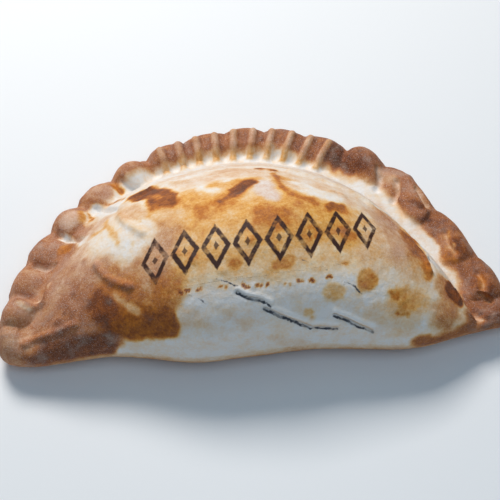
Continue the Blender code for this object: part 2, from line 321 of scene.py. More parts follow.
def crust_points():
    shares = np.arange(1, RINGS) / RINGS
    angles = np.pi * shares + TIPS_THINNED * np.sin(2 * np.pi * shares)
    angle = np.repeat(angles, POINTS_OVER + POINTS_UNDER)
    turn = np.tile(np.concatenate((
        np.linspace(0, np.pi, POINTS_OVER, endpoint=False),
        np.linspace(np.pi, 2 * np.pi, POINTS_UNDER, endpoint=False))), RINGS - 1)
    share = ((1 - np.cos(turn)) / 2) ** EDGE_CROWDING
    reach = edge_reach(angle)
    rim_x = HALF_LENGTH * np.cos(angle) * reach
    rim_y = TIP_SIDE + RIM_DEPTH * (np.sin(angle) * reach) ** drawn_in(rim_x)
    width = rim_width(rim_x) * smooth_step(0, math.radians(28), np.minimum(angle, math.pi - angle))
    trough_x = (HALF_LENGTH - width) * np.cos(angle)
    trough_y = TIP_SIDE + (RIM_DEPTH - width) * np.sin(angle) ** drawn_in(trough_x)
    outer = np.clip(share / TROUGH_SHARE, 0, 1)
    inner = np.clip((share - TROUGH_SHARE) / (1 - TROUGH_SHARE), 0, 1)
    x = rim_x + (trough_x - rim_x) * outer
    y = rim_y + (trough_y - rim_y) * outer + (front_line(trough_x) - trough_y) * inner
    z = np.where(turn < np.pi, top_height(x, y), bottom_height(x, y))
    tips = np.array(((HALF_LENGTH, TIP_SIDE, RIM_MIDDLE), (-HALF_LENGTH, TIP_SIDE, RIM_MIDDLE)))
    return np.vstack((np.column_stack((x, y, z)), tips))

def ball_faces(around, rings):
    faces = []
    for ring in range(rings - 1):
        for step in range(around):
            a, b = ring * around + step, ring * around + (step + 1) % around
            faces.append((a, b, b + around, a + around))
    last = rings * around
    faces += [(last, (step + 1) % around, step) for step in range(around)]
    first = (rings - 1) * around
    faces += [(last + 1, first + step, first + (step + 1) % around) for step in range(around)]
    return faces

points = crust_points()
middle = (points.min(axis=0) + points.max(axis=0)) / 2
plan_shift = ((low + high) / 2 - middle) * (1, 1, 0)
points = (points + plan_shift) * SHRINK
crust_mesh = bpy.data.meshes.new("crust")
crust_mesh.from_pydata(points.tolist(), [], ball_faces(POINTS_OVER + POINTS_UNDER, RINGS - 1))
form = bmesh.new()
form.from_mesh(crust_mesh)
bmesh.ops.recalc_face_normals(form, faces=form.faces)
form.to_mesh(crust_mesh)
form.free()
crust_mesh.shade_smooth()
crust = bpy.data.objects.new("crust", crust_mesh)
scene.collection.objects.link(crust)
triangles = sum(len(face.vertices) - 2 for face in crust_mesh.polygons)
print("crust:", len(crust_mesh.vertices), "points,", triangles, "triangles")

# %% [markdown]
# ## Lines to press along
# Cracks, creases and ribs all follow lines on the dough. Each line is given by a few places on the plan, in
# millimetres from the middle of the box. A smooth curve is run through them and dropped onto the crust. The
# result is a mesh of edges only, which is a guide and not part of the object.

# %% Guide lines
MM = 0.001

def surface_height(x, y):
    shifted = np.column_stack((x, y)) / SHRINK - plan_shift[:2]
    return top_height(shifted[:, 0], shifted[:, 1]) * SHRINK

def along(places, step=0.4):
    places = np.array(places, dtype=float)
    if len(places) > 2:
        knots = np.linspace(0, len(places) - 1, 12 * len(places))
        filled = np.column_stack([np.interp(knots, np.arange(len(places)), places[:, k]) for k in (0, 1)])
        soft = filled.copy()
        for _ in range(14):
            soft[1:-1] = (soft[:-2] + 2 * soft[1:-1] + soft[2:]) / 4
        places = soft
    lengths = np.concatenate(([0], np.cumsum(np.hypot(*np.diff(places, axis=0).T))))
    count = max(int(lengths[-1] / step), 1) + 1
    marks = np.linspace(0, lengths[-1], count)
    x = np.interp(marks, lengths, places[:, 0]) * MM
    y = np.interp(marks, lengths, places[:, 1]) * MM
    return np.column_stack((x, y, surface_height(x, y)))

def guide(name, lines, shift=(0.0, 0.0)):
    verts, edges = [], []
    for places in lines:
        line = along([(x + shift[0], y + shift[1]) for x, y in places])
        edges += [(len(verts) + k, len(verts) + k + 1) for k in range(len(line) - 1)]
        verts += line.tolist()
    mesh = bpy.data.meshes.new(name)
    mesh.from_pydata(verts, edges, [])
    helper = bpy.data.objects.new(name, mesh)
    scene.collection.objects.link(helper)
    return helper

CRACKS = (
    ((-10.9, -26.1), (-8.5, -26.8), (-5.9, -28.0)),
    ((-6.1, -29.3), (-3.5, -30.5), (-0.4, -31.0), (2.1, -32.1)),
    ((0.5, -32.5), (4.2, -33.6), (8.1, -34.3), (12.4, -34.9), (15.2, -34.8), (18.8, -35.0)),
    ((18.1, -33.2), (20.7, -33.8), (24.2, -34.8), (27.9, -35.6)),
    ((10.4, -22.4), (13.2, -23.3), (16.4, -24.4)),
    ((-17.8, -28.9), (-15.7, -29.6), (-13.9, -30.9)),
    ((21.0, -26.9), (23.5, -27.8), (25.1, -29.2)),
)
DEEP_CRACKS = CRACKS[1:4]
crack_guide = guide("crack_guide", DEEP_CRACKS)
lip_guide = guide("lip_guide", DEEP_CRACKS, shift=(0.2, 0.75))
print(len(CRACKS), "cracks,", len(crack_guide.data.edges), "guide edges")

# %% [markdown]
# ## A tree that presses along lines
# A crack is dough pushed in along a line, and a rib is dough pulled out along one. Sculpting either by hand
# would take a brush and patience. Geometry Nodes do both with one tree: measure how far each point is from
# the nearest guide edge, turn that into a soft weight, and move the point along its normal by it. The weight
# is also stored under a name, before the point moves, so that the colour can follow the relief.

# %% Press tree
def new_tree(name, inputs):
    tree = bpy.data.node_groups.new(name, "GeometryNodeTree")
    tree.is_modifier = True
    tree.interface.new_socket("Geometry", in_out="INPUT", socket_type="NodeSocketGeometry")
    for label, kind in inputs:
        tree.interface.new_socket(label, in_out="INPUT", socket_type="NodeSocket" + kind)
    tree.interface.new_socket("Geometry", in_out="OUTPUT", socket_type="NodeSocketGeometry")
    return tree, tree.nodes.new("NodeGroupInput").outputs

def node(tree, kind, links=(), **settings):
    made = tree.nodes.new(kind)
    for key, value in settings.items():
        setattr(made, key, value)
    for socket, source in dict(links).items():
        if isinstance(source, bpy.types.NodeSocket):
            tree.links.new(source, made.inputs[socket])
        else:
            made.inputs[socket].default_value = source
    return made

def maths(tree, operation, first, second=0.0, clamp=False):
    made = node(tree, "ShaderNodeMath", {0: first, 1: second}, operation=operation, use_clamp=clamp)
    return made.outputs[0]

def scaled(tree, vector, factor):
    return node(tree, "ShaderNodeVectorMath", {0: vector, "Scale": factor}, operation="SCALE").outputs[0]

def end_tree(tree, geometry, material):
    real = node(tree, "GeometryNodeRealizeInstances", {"Geometry": geometry})
    painted = node(tree, "GeometryNodeSetMaterial", {"Geometry": real.outputs[0], "Material": material})
    tree.links.new(painted.outputs[0], tree.nodes.new("NodeGroupOutput").inputs[0])

def add_tree(obj, tree, **values):
    modifier = obj.modifiers.new(tree.name, "NODES")
    modifier.node_group = tree
    for socket in tree.interface.items_tree:
        if socket.item_type == "SOCKET" and socket.in_out == "INPUT" and socket.name in values:
            modifier[socket.identifier] = values[socket.name]

press, given = new_tree("press_along_lines", (
    ("Lines", "Object"), ("Reach", "Float"), ("Rise", "Float"), ("Unevenness", "Float"), ("Mark", "String"),
    ("Material", "Material")))
lines = node(press, "GeometryNodeObjectInfo", {"Object": given["Lines"]}, transform_space="ORIGINAL")
nearest = node(
    press, "GeometryNodeProximity", {"Geometry": lines.outputs["Geometry"]}, target_element="EDGES")
weight = node(press, "ShaderNodeMapRange", {
    "Value": nearest.outputs["Distance"], "From Min": 0.0, "From Max": given["Reach"], "To Min": 1.0,
    "To Max": 0.0}, interpolation_type="SMOOTHSTEP")
uneven = node(press, "ShaderNodeTexNoise", {"Scale": 420.0, "Detail": 2.0})
sway = maths(press, "SUBTRACT", uneven.outputs[0], 0.5)
sway = maths(press, "MULTIPLY", sway, given["Unevenness"])
sway = maths(press, "ADD", sway, 1.0)
rise = maths(press, "MULTIPLY", weight.outputs[0], given["Rise"])
rise = maths(press, "MULTIPLY", rise, sway)
normal = node(press, "GeometryNodeInputNormal")
offset = scaled(press, normal.outputs[0], rise)
marked = node(press, "GeometryNodeStoreNamedAttribute", {
    "Geometry": given["Geometry"], "Name": given["Mark"], "Value": weight.outputs[0]},
    data_type="FLOAT", domain="POINT")
moved = node(press, "GeometryNodeSetPosition", {"Geometry": marked.outputs[0], "Offset": offset})
end_tree(press, moved.outputs[0], given["Material"])
print("press tree:", len(press.nodes), "nodes")

# %% [markdown]
# ## Ribs pressed on the flat stretch of rim
# The mould leaves a row of short raised ribs across the rim. They repeat along an arc, so a tree sets short
# lines square to a path and drops each of their points onto the crust. The press tree then raises them.

# %% Rib guides
RIBS, RIB_POINTS, RIB_LENGTH, RIB_LEAN, RIB_INSET, DROP = 10, 10, 0.0082, math.radians(-9), 0.0074, 0.010
crust_material = bpy.data.materials.new("baked_crust")

rib_tree, given = new_tree("ribs_along_path", (
    ("Crust", "Object"), ("Ribs", "Int"), ("Rib Length", "Float"), ("Lean", "Float"),
    ("Material", "Material")))
curve = node(rib_tree, "GeometryNodeMeshToCurve", {"Mesh": given["Geometry"]})
spaced = node(rib_tree, "GeometryNodeResampleCurve", {"Curve": curve.outputs[0], "Count": given["Ribs"]})
half = maths(rib_tree, "MULTIPLY", given["Rib Length"], -0.5)
start = node(rib_tree, "ShaderNodeCombineXYZ", {"Y": half})
step = maths(rib_tree, "MULTIPLY", given["Rib Length"], 1 / (RIB_POINTS - 1))
stride = node(rib_tree, "ShaderNodeCombineXYZ", {"Y": step})
rib = node(rib_tree, "GeometryNodeMeshLine", {
    "Count": RIB_POINTS, "Start Location": start.outputs[0], "Offset": stride.outputs[0]}, mode="OFFSET")
tangent = node(rib_tree, "GeometryNodeInputTangent")
square = node(
    rib_tree, "FunctionNodeAlignRotationToVector", {"Vector": tangent.outputs[0]}, axis="X", pivot_axis="Z")
swing = node(rib_tree, "ShaderNodeCombineXYZ", {"Z": given["Lean"]})
turned = node(rib_tree, "FunctionNodeRotateRotation", {"Rotation": square.outputs[0]}, rotation_space="LOCAL")
rib_tree.links.new(swing.outputs[0], turned.inputs[1])
placed = node(rib_tree, "GeometryNodeInstanceOnPoints", {
    "Points": spaced.outputs[0], "Instance": rib.outputs[0], "Rotation": turned.outputs[0]})
joined = node(rib_tree, "GeometryNodeRealizeInstances", {"Geometry": placed.outputs[0]})
skin = node(rib_tree, "GeometryNodeObjectInfo", {"Object": given["Crust"]}, transform_space="ORIGINAL")
onto = node(rib_tree, "GeometryNodeRaycast", {
    "Target Geometry": skin.outputs["Geometry"], "Ray Direction": (0, 0, -1)})
dropped = node(rib_tree, "GeometryNodeSetPosition", {
    "Geometry": joined.outputs[0], "Position": onto.outputs["Hit Position"]})
end_tree(rib_tree, dropped.outputs[0], given["Material"])

rib_angles = np.linspace(STAMP_END - math.radians(1), STAMP_START + math.radians(1), 60)
rib_x = (HALF_LENGTH - RIB_INSET) * np.cos(rib_angles)
rib_y = TIP_SIDE + (RIM_DEPTH - RIB_INSET) * np.sin(rib_angles) ** drawn_in(rib_x)
path_points = np.column_stack((rib_x + plan_shift[0], rib_y + plan_shift[1])) * SHRINK
path_points = np.column_stack((path_points, surface_height(*path_points.T) + DROP))
path_mesh = bpy.data.meshes.new("rib_path")
path_mesh.from_pydata(path_points.tolist(), [(k, k + 1) for k in range(len(path_points) - 1)], [])
rib_guide = bpy.data.objects.new("rib_guide", path_mesh)
scene.collection.objects.link(rib_guide)
add_tree(rib_guide, rib_tree, **{
    "Crust": crust, "Ribs": RIBS, "Rib Length": RIB_LENGTH, "Lean": RIB_LEAN, "Material": crust_material})

def settle(obj):
    """Turns what the modifiers make into the object's own plain mesh."""
    made = bpy.data.meshes.new_from_object(obj.evaluated_get(bpy.context.evaluated_depsgraph_get()))
    obj.modifiers.clear()
    obj.data = made
    return made

settle(rib_guide)
print("rib guide:", len(rib_guide.data.edges), "edges")

# %% [markdown]
# ## Creases and tucks
# Where the sheet of dough had too little room it folded over: two long creases follow the trough on the
# right, a tuck lies across the left shoulder, and small folds gather at both horns. They are low ridges, and
# the first three have a shallow groove at their foot, on the side that faces the rim. Fingers also left
# short grooves between the knuckles.

# %% Crease guides
CREASES = (
    ((10.5, 12.8), (19.0, 9.4), (27.0, 4.6), (33.6, -0.6), (39.0, -5.6), (43.0, -10.6), (44.6, -14.6)),
    ((30.5, 0.2), (35.0, -4.8), (39.5, -8.8), (43.6, -15.0), (44.4, -20.0)),
    ((-35.5, 3.6), (-32.1, 6.6), (-27.5, 10.8), (-23.5, 10.8), (-17.5, 9.0)),
    ((-41.4, -16.3), (-39.3, -20.0), (-36.5, -22.4), (-32.6, -24.5)),
    ((-35.5, -0.8), (-33.5, -6.0), (-29.0, -11.0)),
    ((41.6, 9.6), (43.4, 4.6), (46.4, 2.0), (47.8, 4.0)),
    ((51.2, -23.0), (52.6, -27.0), (55.0, -30.0), (58.2, -31.2)),
    ((54.5, -22.0), (56.0, -26.0), (59.5, -28.6)),
    ((-60.7, -31.6), (-57.2, -30.8), (-52.4, -31.0), (-47.3, -30.1)),
    ((-62.5, -20.4), (-59.5, -22.4), (-55.6, -21.4), (-54.6, -17.0)),
)
GROOVES = (
    ((-43.2, 10.2), (-40.4, 8.0), (-37.6, 4.6)),
    ((-52.6, 1.3), (-49.2, -1.2), (-46.4, -3.2)),
    ((-58.6, -9.0), (-56.0, -9.8), (-54.0, -9.4)),
    ((-36.5, 19.0), (-34.0, 17.4), (-31.5, 16.6)),
    ((52.0, -3.0), (52.2, -7.0), (53.8, -9.6)),
    ((59.0, -16.3), (59.9, -19.0), (59.4, -21.4)),
    ((59.0, -23.0), (61.1, -24.2)),
    ((48.8, 6.5), (47.4, 9.6), (46.6, 12.0)),
    ((36.4, 19.6), (36.8, 15.8), (35.6, 13.8)),
    ((41.2, 15.0), (41.0, 12.0), (39.8, 9.6)),
)
crease_guide = guide("crease_guide", CREASES)
groove_guide = guide("groove_guide", GROOVES)
crease_foot = guide("crease_foot", CREASES[:3], shift=(0.9, 1.3))
print(len(CREASES), "creases and", len(GROOVES), "grooves")

# %% [markdown]
# ## Skin and blisters
# Baked dough is never smooth: steam lifts small blisters and flour leaves a fine roughness. Bump in the
# material would do for the finest grain, but blisters catch the light at the outline, so they are real. The
# tree scatters seeded points over the upper side, gives each a size of its own, and swells the crust there.

# %% Skin tree
SMALLEST_BLISTER, LARGEST_BLISTER, BLISTER_LIFT = 0.0007, 0.0026, 0.15

skin_tree, given = new_tree("dough_skin", (
    ("Blisters per m2", "Float"), ("Blister Seed", "Int"), ("Grain Height", "Float"),
    ("Material", "Material")))
normal = node(skin_tree, "GeometryNodeInputNormal")
facing = node(skin_tree, "ShaderNodeSeparateXYZ", {0: normal.outputs[0]})
upper = node(skin_tree, "FunctionNodeCompare", {0: facing.outputs["Z"], 1: 0.1}, operation="GREATER_THAN")
spread = node(skin_tree, "GeometryNodeDistributePointsOnFaces", {
    "Mesh": given["Geometry"], "Selection": upper.outputs[0], "Density": given["Blisters per m2"],
    "Seed": given["Blister Seed"]})
spot_size = node(skin_tree, "FunctionNodeRandomValue", {"Seed": 5}, data_type="FLOAT")
for socket in spot_size.inputs:
    if socket.enabled and socket.name in ("Min", "Max"):
        socket.default_value = SMALLEST_BLISTER if socket.name == "Min" else LARGEST_BLISTER
size_out = next(socket for socket in spot_size.outputs if socket.enabled)
index = node(skin_tree, "GeometryNodeSampleNearest", {"Geometry": spread.outputs["Points"]})
place = node(skin_tree, "GeometryNodeInputPosition")
centre = node(skin_tree, "GeometryNodeSampleIndex", data_type="FLOAT_VECTOR")
size = node(skin_tree, "GeometryNodeSampleIndex", data_type="FLOAT")
for sampler, value in ((centre, place.outputs[0]), (size, size_out)):
    skin_tree.links.new(spread.outputs["Points"], sampler.inputs["Geometry"])
    skin_tree.links.new(value, next(s for s in sampler.inputs if s.enabled and s.name == "Value"))
    skin_tree.links.new(index.outputs[0], sampler.inputs["Index"])
apart = node(
    skin_tree, "ShaderNodeVectorMath", {0: place.outputs[0], 1: centre.outputs[0]}, operation="DISTANCE")
swell = node(skin_tree, "ShaderNodeMapRange", {
    "Value": apart.outputs["Value"], "From Min": 0.0, "From Max": size.outputs[0], "To Min": 1.0,
    "To Max": 0.0}, interpolation_type="SMOOTHSTEP")
lift = maths(skin_tree, "MULTIPLY", swell.outputs[0], size.outputs[0])
lift = maths(skin_tree, "MULTIPLY", lift, BLISTER_LIFT)
coarse = node(skin_tree, "ShaderNodeTexNoise", {"Vector": place.outputs[0], "Scale": 260.0, "Detail": 3.0})
roll = maths(skin_tree, "SUBTRACT", coarse.outputs[0], 0.5)
roll = maths(skin_tree, "MULTIPLY", roll, given["Grain Height"])
both = maths(skin_tree, "ADD", lift, roll)
offset = scaled(skin_tree, normal.outputs[0], both)
marked = node(skin_tree, "GeometryNodeStoreNamedAttribute", {
    "Geometry": given["Geometry"], "Name": "blister", "Value": swell.outputs[0]},
    data_type="FLOAT", domain="POINT")
moved = node(
    skin_tree, "GeometryNodeSetPosition", {"Geometry": marked.outputs[0], "Offset": offset})
end_tree(skin_tree, moved.outputs[0], given["Material"])
print("skin tree:", len(skin_tree.nodes), "nodes")

# %% [markdown]
# ## Run the trees
# Broad relief goes first and fine relief last, as it does in the oven: ribs, creases, grooves, cracks with
# their torn lips, then the skin. Each press has a guide, a mark, a reach and a rise in metres, and an
# unevenness. The result is settled into one plain mesh and kept within the frame's box.

# %% Run the trees
PRESSES = (
    (rib_guide, "rib", 0.0020, 0.0014, 0.4),
    (crease_guide, "crease", 0.0017, 0.0008, 0.8),
    (crease_foot, "foot", 0.0015, -0.0005, 0.6),
    (groove_guide, "groove", 0.0016, -0.0013, 0.5),
    (lip_guide, "lip", 0.0012, 0.00035, 0.9),
    (crack_guide, "crack", 0.00075, -0.0007, 0.9),
)
for helper, mark_name, press_reach, press_rise, unevenness in PRESSES:
    add_tree(crust, press, **{
        "Lines": helper, "Reach": press_reach, "Rise": press_rise, "Unevenness": unevenness,
        "Mark": mark_name, "Material": crust_material})
add_tree(crust, skin_tree, **{
    "Blisters per m2": 5200.0, "Blister Seed": 11, "Grain Height": 0.00042, "Material": crust_material})
crust_mesh = settle(crust)

def read_points(mesh):
    flat = np.empty(len(mesh.vertices) * 3)
    mesh.vertices.foreach_get("co", flat)
    return flat.reshape(-1, 3)

skin_points = read_points(crust_mesh)
kept = np.clip(skin_points, low, high)
crust_mesh.vertices.foreach_set("co", kept.ravel())
crust_mesh.update()
print("moved back inside the box by at most", round(float(np.abs(kept - skin_points).max()) * 1000, 3), "mm")
for helper, *_ in PRESSES:
    bpy.data.objects.remove(helper)

# %% [markdown]
# ## How far each place is baked
# The real crust has two browns: a warm golden one where the dough is oily, and a dull pinkish one where flour
# lies on it. A painted texture could hold them, but marks on the mesh's own points need no image file. Each
# brush stroke below has a bake level from 0, raw, to 1, burnt, a dullness from 0, golden, to 1, floury, a
# reach and a soft border in millimetres, a strength, and the places that it passes through. Noise bends
# every border, and its seed is fixed because it would otherwise start from the clock.

# %% Brush
BROAD_BEND, FINE_BEND, BEND_SEED = 0.0017, 0.0008, 7
noise.seed_set(BEND_SEED)

skin = read_points(crust_mesh)
bend = np.array([
    BROAD_BEND * np.array(noise.noise_vector(Vector(point) * 140))
    + FINE_BEND * np.array(noise.noise_vector(Vector(point) * 480)) for point in skin.tolist()])
bent = skin + bend
bake = np.zeros(len(skin))
dull = np.zeros(len(skin))

def nearness(places, reach, border):
    nearest = np.full(len(bent), 1.0)
    for x, y, z in along(places, 1.0) if len(places) > 1 else along(places * 2, 1.0):
        nearest = np.minimum(nearest, (bent[:, 0] - x) ** 2 + (bent[:, 1] - y) ** 2 + (bent[:, 2] - z) ** 2)
    return 1 - smooth_step(reach - border / 2, reach + border / 2, np.sqrt(nearest) / MM)

def brush(bake_level, dullness, reach, border, strength, *places):
    weight = strength * nearness(places, reach, border)
    bake[:] += (bake_level - bake) * weight
    dull[:] += (dullness - dull) * weight

print("brush bends its borders by up to", round(float(np.abs(bend).max()) * 1000, 1), "mm")

# %% [markdown]
# ## First coat: rim, belly and underside
# The broad differences follow the form. The rim is thin, so it browns all along, more at the right. The
# trough behind the belly is shaded by it and stays white. The belly is cream, and the underside browns on
# the tray.

# %% First coat
plan_x, plan_y = skin[:, 0] / SHRINK - plan_shift[0], skin[:, 1] / SHRINK - plan_shift[1]
skin_angle, skin_inside, skin_plain = rim_coordinates(plan_x + bend[:, 0] * 0.8, plan_y + bend[:, 1] * 0.8)
width = rim_width(plan_x)
rim_share = skin_plain / (width * (1 + 0.16 * stamped(skin_angle)))
right_share = smooth_step(0.1, 0.6, plan_x / HALF_LENGTH)
on_rim = 1 - smooth_step(0.62 + 0.06 * right_share, 0.92 + 0.10 * right_share, rim_share)
normals = np.empty(len(skin) * 3)
crust_mesh.vertices.foreach_get("normal", normals)
underside = 1 - smooth_step(-0.55, 0.15, normals.reshape(-1, 3)[:, 2])

RIM_BAKE = ((0, .74), (20, .66), (40, .60), (60, .66), (80, .62), (110, .58), (130, .55), (180, .58))
BELLY_BAKE, BELLY_DULL, RIM_DULL = 0.06, 0.25, 0.85
rim_bake = np.interp(np.degrees(skin_angle), *np.array(RIM_BAKE).T)
bake[:] = BELLY_BAKE + (rim_bake - BELLY_BAKE) * on_rim
dull[:] = BELLY_DULL + (RIM_DULL - BELLY_DULL) * on_rim
print("rim covers", round(float(on_rim.mean()) * 100), "% of the points")

# %% [markdown]
# ## Second coat: the left end
# Raised and thin places brown first. The strokes go on from broad to fine, as a painter would lay them: a
# golden ground on the belly's top, the brown left end, the dark tip and patch on the low front, which are
# partly real browning and partly painted shade where the front turns down, then the pale hollows of the left
# crimps and thin dark lines under their knuckles, which are painted shade.

# %% Left end
brush(.48, .08, 9.5, 8, .95, (-21, -8), (-8, -9), (6, -12), (22, -12))
brush(.44, .16, 7.5, 6, .95, (-18, -20), (-4, -20), (12, -18), (27, -15))
brush(.28, .25, 3.5, 4, .6, (-16, -26), (0, -25), (14, -22.5), (26, -21))
brush(.55, .90, 13, 9, 1, (-63, -26), (-57, -16), (-52, -6))
brush(.52, .85, 9, 7, 1, (-60, -30), (-46, -24), (-36, -22))
brush(.50, .70, 6, 5, .9, (-36, -24), (-28, -22), (-25, -14))
brush(.68, .35, 6, 5, .9, (-38, -27), (-30, -28), (-25, -27))
# Dark tip on the low front: partly real browning, partly painted shade where the front turns down.
brush(.84, .70, 4.5, 4.5, .95, (-56.8, -35), (-46.6, -34.5), (-40, -34.0))
brush(.58, .95, 4.5, 4.5, .8, (-48, -23), (-45, -28), (-51, -30))
brush(.44, .90, 4.0, 4.0, .8, (-51.2, -18.6), (-46, -16), (-47.3, -12))
brush(.30, .80, 4.5, 4, .9, (-44, -9), (-42, -3), (-39, 1))
brush(.10, .30, 4.6, 4, 1, (-41, -7.5), (-37, -10), (-33.5, -13))
brush(.14, .40, 3.2, 3, .9, (-36, -1), (-33, -6), (-28.5, -11.5))
brush(.46, .85, 3.2, 3.5, .8, (-24.5, -15), (-25.0, -20), (-28, -23))
brush(.62, .45, 1.5, 1.6, .8, (-36.2, -18.5), (-37.2, -20.6))
# Dark patch on the low front: partly real browning, partly painted shade where the front turns down.
brush(.84, .30, 3.6, 3, .95, (-41.8, -26), (-39.1, -28.6), (-37.6, -31))
brush(.75, .10, 4.8, 2.2, .95, (-34, -32), (-29.5, -32.6), (-25.5, -33.4))
brush(.46, .90, 3.4, 3.4, .8, (-64, -31), (-61, -31.5))
brush(.30, .60, 1.4, 1.8, .7, (-36.4, -26.4), (-33.3, -29.1), (-30.4, -30.6))
brush(.24, .50, 2.2, 3, .8, (-19, -33), (-15, -34))
brush(.22, .60, 2.4, 3, .7, (-8, -33.4), (-4, -34.6))
brush(.20, .60, 2.0, 3, .7, (4, -36), (9, -36.6))
brush(.24, .40, 2.2, 3, .7, (28, -33), (31, -32))
brush(.05, .30, 2.6, 1.6, 1, (-36, -36.6), (-28, -38.2), (-20, -39), (-8, -38.6))
brush(.82, .05, 3.8, 2.6, .95, (-31.6, 7.4), (-28.4, 8.0), (-25.6, 3.6), (-23.2, -1.6))
brush(.40, .60, 3.0, 3.0, .8, (-30, -3.6), (-34, .6))
brush(.32, .30, 3.0, 3.0, .8, (-24.5, -5.5), (-20.7, -7.1))
brush(.46, .90, 2.8, 2.0, 1, (-43, 14.6), (-40, 15))
brush(.36, .95, 2.8, 2.0, 1, (-51.4, 3.6), (-48.8, 4.8))
brush(.56, .95, 3.0, 2.4, 1, (-57.6, -5.4), (-55, -4))
# Thin dark lines along the knuckles' lower edges: painted shade under the knuckles.
brush(.66, .90, 1.0, 1.4, .8, (-45, 12), (-40, 11.4), (-35.8, 9.6))
brush(.64, .90, 1.0, 1.4, .8, (-53.6, 2.0), (-49.6, 1.0), (-46.0, 3.0))
brush(.00, .30, 1.5, 1.4, 1, (-42.8, 9.4), (-39.6, 5.6), (-36.7, 3.4))
brush(.02, .40, 1.3, 1.4, .95, (-52.2, .8), (-49.2, -1.6), (-45.3, -4.8))
brush(.10, .60, .8, 1.0, .8, (-62.5, -20.1), (-59.5, -22.4), (-55.5, -21.1), (-54.5, -16.5))
print("the left end's mean bake level:", round(float(bake[skin[:, 0] < -0.03].mean()), 2))

# %% [markdown]
# ## Second coat: golden top and brown right
# The highest part of the belly is glossy and golden, with a few burnt folds and pale islands. Further right
# the dough turns brown and dull, down to the dark corner at the fold, which is partly real browning and
# partly painted shade.

# %% Golden top
brush(.25, .60, 6.0, 4.5, .95, (-16, 9), (-7, 12), (6, 9), (16, 5), (26, 0))
brush(.30, .70, 2.0, 2.0, .8, (-9.6, 14.0), (-4.3, 14.6), (.5, 11.6))
brush(.56, .05, 3.2, 3.0, .95, (-13.3, -6.2), (-9.9, -5.8), (-6.7, -2.0), (-3.7, .5), (-.8, 4))
brush(.54, .05, 2.4, 2.4, .9, (-9.3, 4.4), (-5.1, 3.7))
brush(.48, .05, 2.8, 2.2, .9, (-17.8, 1.6), (-14.1, -1.0))
brush(.16, 1.0, 2.7, 2.0, 1, (2.1, 2.6), (3.2, -3.0))
brush(.52, .05, 3.4, 3.6, .9, (7.4, 5), (9.4, -3.4), (14.9, -6.4), (20, -7.4))
brush(.06, .30, 3.2, 2.4, 1, (12.5, 2), (16.9, -.6), (19.5, -2.0))
brush(.30, .60, 1.6, 1.6, .8, (7.9, 3.9), (10.9, 1.4))
brush(.62, .10, 3.2, 3.4, .85, (1.6, -10.6), (6.8, -11.8))
brush(.50, .10, 3.4, 3.4, .8, (12, -14.6), (22, -14.0))
brush(.42, .80, 6.0, 5, 1, (34, -6), (37, -12), (37.5, -18))
brush(.34, .50, 5.0, 5, .8, (30, -15), (29, -21))
brush(.68, .40, 3.4, 3.0, .95, (40.6, -10), (41.6, -15), (41.6, -21))
brush(.30, .40, 5.0, 5, .7, (38, -24), (46, -22))
brush(.42, .25, 4.0, 3.4, .9, (34, -31.5), (39.5, -30))
brush(.30, .40, 4.0, 4, .7, (30, -33.4), (36, -34.4))
# Dark corner at the fold: partly real browning, partly painted shade at the belly's lower right end.
brush(.78, .50, 3.0, 3.0, .9, (42, -36.2), (47, -35.6), (53, -33.6))
brush(.58, .60, 3.4, 3.4, .9, (48.5, -22), (48.5, -32), (46, -31))
brush(.70, .75, 6.0, 4, .9, (60, -22), (57, -30))
brush(.24, .80, 1.2, 1.4, .8, (52.6, -24), (54.2, -28), (57, -30))
print("the right end's mean bake level:", round(float(bake[skin[:, 0] > 0.03].mean()), 2))

# %% [markdown]
# ## Second coat: the trough and the right knuckles
# The trough is the palest line on the crust, and it is painted a little darker towards the right, partly real
# browning and partly painted shade. Some of the knuckles beside it are the darkest.

# %% Trough and knuckles
brush(.22, .70, 2.6, 2.4, .9, (-24, 15), (-9.6, 19.4), (.5, 19.2), (11.7, 17.2), (20, 14.2), (33.3, 7.0))
brush(.03, .35, 1.5, 1.6, 1, (-27, 14.5), (-23.7, 17.4), (-16.8, 20.8), (-9.6, 22.2))
brush(.10, .50, 1.4, 1.6, 1, (-9.6, 22.2), (.5, 22.0), (11.7, 19.8), (20, 17.0))
# The right stretch of the trough is painted a little greyer: partly real browning, partly painted shade.
brush(.12, .60, 1.5, 1.4, 1, (20, 17.6), (27.1, 13.4), (33.3, 9.6), (38.9, 4.8), (44.6, -1), (48.7, -7.4),
      (50.6, -13.2), (51.6, -18))
brush(.88, .60, 4.0, 4.0, .85, (25, 25.4), (29.4, 21.6))
brush(.78, .60, 3.6, 3.4, .8, (50.5, 1.0), (54, -6), (57, -12), (61, -20), (63, -25))
brush(.40, .80, 2.4, 2.4, .7, (36.8, 17.5), (39.5, 15.6))
print("palest point:", round(float(bake.min()), 2), "darkest point:", round(float(bake.max()), 2))

# %% [markdown]
# ## Third coat: spots and specks
# Blisters leave round golden spots of many sizes, which share one low dullness because no flour lies on
# them. A row of short char dashes runs under the seared band.

